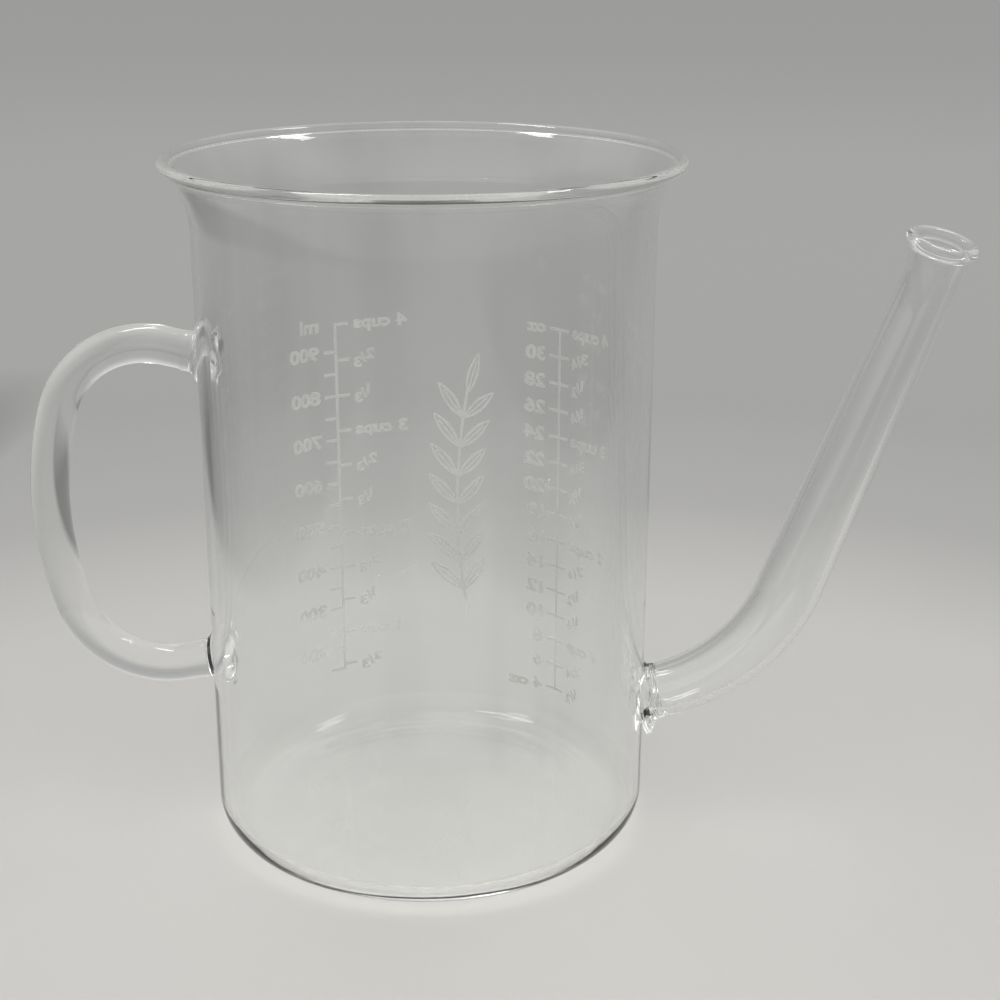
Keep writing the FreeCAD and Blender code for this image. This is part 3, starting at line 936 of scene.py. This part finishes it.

# Floor: a plain pale sweep with a painted pool of light, lightest round the object and
# greyer far behind it where the light is painted as falling off. It isn't part of the object.

# The pool of light round the object is painted into the floor's colour: pale near it, greyer with
# distance. far_grey, where the painted light has faded, is also the room's grey behind.
painted_pool_grey = (0.57, 0.557, 0.533)
far_grey = (0.375, 0.375, 0.367)
shaded_side = (0.1, 0.1, 0.098)
floor_reach = 9.0
floor_drop = 0.15 * MM       # clear of the standing ring, so that no two faces share a plane
# Centre of the painted pool of light, a little in front of the object.
painted_pool_centre = (0.02, -0.12)
shade_depth = 0.8            # how far the soft shade to the left goes towards its own colour
shade_right, shade_full, shade_thin, shade_left = -0.205, -0.235, -0.45, -0.65
shade_back, shade_back_full, shade_front_full, shade_front = 0.42, 0.24, -0.4, -0.6


def pale_floor():
    """Plain matt sweep with a painted pool of light, palest in front of the object, and one
    painted soft shade off to its left.
    """
    finish = Finish("pale_floor")
    place = finish.node("ShaderNodeTexCoord", out=3)
    from_painted_pool = finish.node("ShaderNodeMapping", Vector=place,
                              Location=(-painted_pool_centre[0], -painted_pool_centre[1], 0.0))
    distance = finish.node("ShaderNodeVectorMath", out=1, settings={"operation": "LENGTH"},
                           Vector=from_painted_pool)
    mottle = finish.node("ShaderNodeTexNoise", Vector=place, Scale=9.0, Detail=2.0)
    # Painted pool of light: the colour greys with distance from its centre.
    colour = finish.node("ShaderNodeValToRGB", Fac=distance * 0.7 + mottle * 0.012,
                         stops=[(0.04, painted_pool_grey), (0.115, (0.54, 0.53, 0.512)),
                                (0.19, (0.505, 0.498, 0.484)), (0.26, (0.376, 0.373, 0.365)),
                                (0.36, (0.33, 0.33, 0.322)), (1.0, far_grey)])
    across = finish.node("ShaderNodeSeparateXYZ", out=0, Vector=place)
    to_left = finish.node("ShaderNodeMapRange", Value=across, From_Min=shade_right,
                          From_Max=shade_full, To_Max=shade_depth)
    not_far = finish.node("ShaderNodeMapRange", Value=across, From_Min=shade_left,
                          From_Max=shade_thin)
    along = finish.node("ShaderNodeSeparateXYZ", out=1, Vector=place)
    nearby = finish.node("ShaderNodeMapRange", Value=along, From_Min=shade_back_full,
                         From_Max=shade_back, To_Min=1.0, To_Max=0.0)
    in_front = finish.node("ShaderNodeMapRange", Value=along, From_Min=shade_front,
                           From_Max=shade_front_full)
    shaded = finish.node("ShaderNodeMix", out=2, settings={"data_type": "RGBA"},
                         _0=to_left * nearby * in_front * not_far,
                         _6=colour, _7=(*shaded_side, 1.0))
    return finish.surface(finish.node("ShaderNodeBsdfPrincipled", Base_Color=shaded, Roughness=0.6,
                                      Specular_IOR_Level=0.15))


corners = [(-floor_reach, -floor_reach), (floor_reach, -floor_reach), (floor_reach, floor_reach),
           (-floor_reach, floor_reach)]
floor = mesh_object("floor", [(x, y, -floor_drop) for x, y in corners], [(0, 1, 2, 3)])
floor.data.materials.append(pale_floor())

# Light: an even grey room, brighter overhead and in front, with two long panels of
# light in the ceiling.

side_dark = 0.62             # the darkest that the sides get
left_edge, left_fall = -0.8, 6.0
right_edge, right_fall = 0.86, 7.0
right_share = 0.5
dark_fall = 2.5              # how fast the dark at the sides ends with height


def soft_room():
    """Room light: bright overhead and in front, grey behind, dark low down at both sides."""
    room = bpy.data.worlds.new("soft_room")
    room.use_nodes = True
    tree = room.node_tree
    tree.nodes.clear()
    out = tree.nodes.new("ShaderNodeOutputWorld")
    light = tree.nodes.new("ShaderNodeBackground")
    direction = tree.nodes.new("ShaderNodeTexCoord")
    split = tree.nodes.new("ShaderNodeSeparateXYZ")
    tree.links.new(direction.outputs["Generated"], split.inputs[0])
    height = Socket(tree, split.outputs["Z"])
    toward_back = Socket(tree, split.outputs["Y"])
    toward_right = Socket(tree, split.outputs["X"])
    ramp = tree.nodes.new("ShaderNodeValToRGB")
    stops = [(0.0, far_grey), (0.2, (0.40, 0.40, 0.395)), (0.5, (0.66, 0.66, 0.655)),
             (0.8, (1.0, 0.995, 0.985)), (1.0, (0.88, 0.88, 0.88))]
    while len(ramp.color_ramp.elements) < len(stops):
        ramp.color_ramp.elements.new(0.5)
    for element, (place, colour) in zip(ramp.color_ramp.elements, stops):
        element.position = place
        element.color = (*colour, 1.0)
    share = height * 0.6 + (1 - toward_back) * 0.4
    low = height.maths("MAXIMUM", 1 - height * dark_fall, 0.0)
    left = height.maths("MAXIMUM", (left_edge - toward_right) * left_fall, 0.0)
    right = height.maths("MAXIMUM", (toward_right - right_edge) * right_fall, 0.0)
    dark = height.maths("MINIMUM", (left + right * right_share) * low, side_dark)
    tree.links.new(share.socket, ramp.inputs["Fac"])
    tree.links.new(ramp.outputs["Color"], light.inputs["Color"])
    tree.links.new((1 - dark).socket, light.inputs["Strength"])
    tree.links.new(light.outputs[0], out.inputs["Surface"])
    bpy.context.scene.world = room


soft_room()


panel_size = (0.8, 0.16)
panel_power = 4.0
lit_point = Vector((0.0, 0.0, 0.08))


def ceiling_panel(name, place):
    """Soft long lamp that faces the object."""
    lamp = bpy.data.lights.new(name, "AREA")
    lamp.shape = "RECTANGLE"
    lamp.size, lamp.size_y = panel_size
    lamp.energy = panel_power
    holder = bpy.data.objects.new(name, lamp)
    toward = lit_point - Vector(place)
    holder.location = place
    holder.rotation_euler = toward.to_track_quat("-Z", "Y").to_euler()
    bpy.context.scene.collection.objects.link(holder)


ceiling_panel("left_ceiling_panel", (-0.52, 0.40, 1.45))
ceiling_panel("right_ceiling_panel", (0.66, 0.40, 1.45))

# Camera: at the photograph's viewing angle, from the fitted view of the rim and base.

camera_distance = 398.7 * MM
camera_height = 221.2 * MM
camera_turn = 6.0            # degrees about the upright axis, from square to the handle's plane
camera_yaw = degrees(0.0440)
camera_pitch = degrees(0.3353)
camera_roll = degrees(0.0029)
focal_share = 1.7344         # focal length over the picture's width


def camera_view():
    """Place and turn of the camera."""
    around = Matrix.Rotation(radians(camera_turn), 3, "Z")
    pitch, yaw, roll = radians(camera_pitch), radians(camera_yaw), radians(camera_roll)
    forward = around @ Vector((sin(yaw) * cos(pitch), cos(yaw) * cos(pitch), -sin(pitch)))
    right = around @ Vector((cos(yaw), -sin(yaw), 0.0))
    up = right.cross(forward)
    rolled_right = cos(roll) * right + sin(roll) * up
    rolled_up = -sin(roll) * right + cos(roll) * up
    turn = Matrix((rolled_right, rolled_up, -forward)).transposed()
    place = around @ Vector((0.0, -camera_distance, camera_height))
    return Matrix.Translation(place) @ turn.to_4x4()


lens = bpy.data.cameras.new("camera")
lens.sensor_width = 36.0
lens.lens = focal_share * lens.sensor_width
lens.clip_start = 0.01
camera = bpy.data.objects.new("camera", lens)
camera.matrix_world = camera_view()
bpy.context.scene.collection.objects.link(camera)
bpy.context.scene.camera = camera
bpy.context.scene.view_settings.view_transform = "Standard"
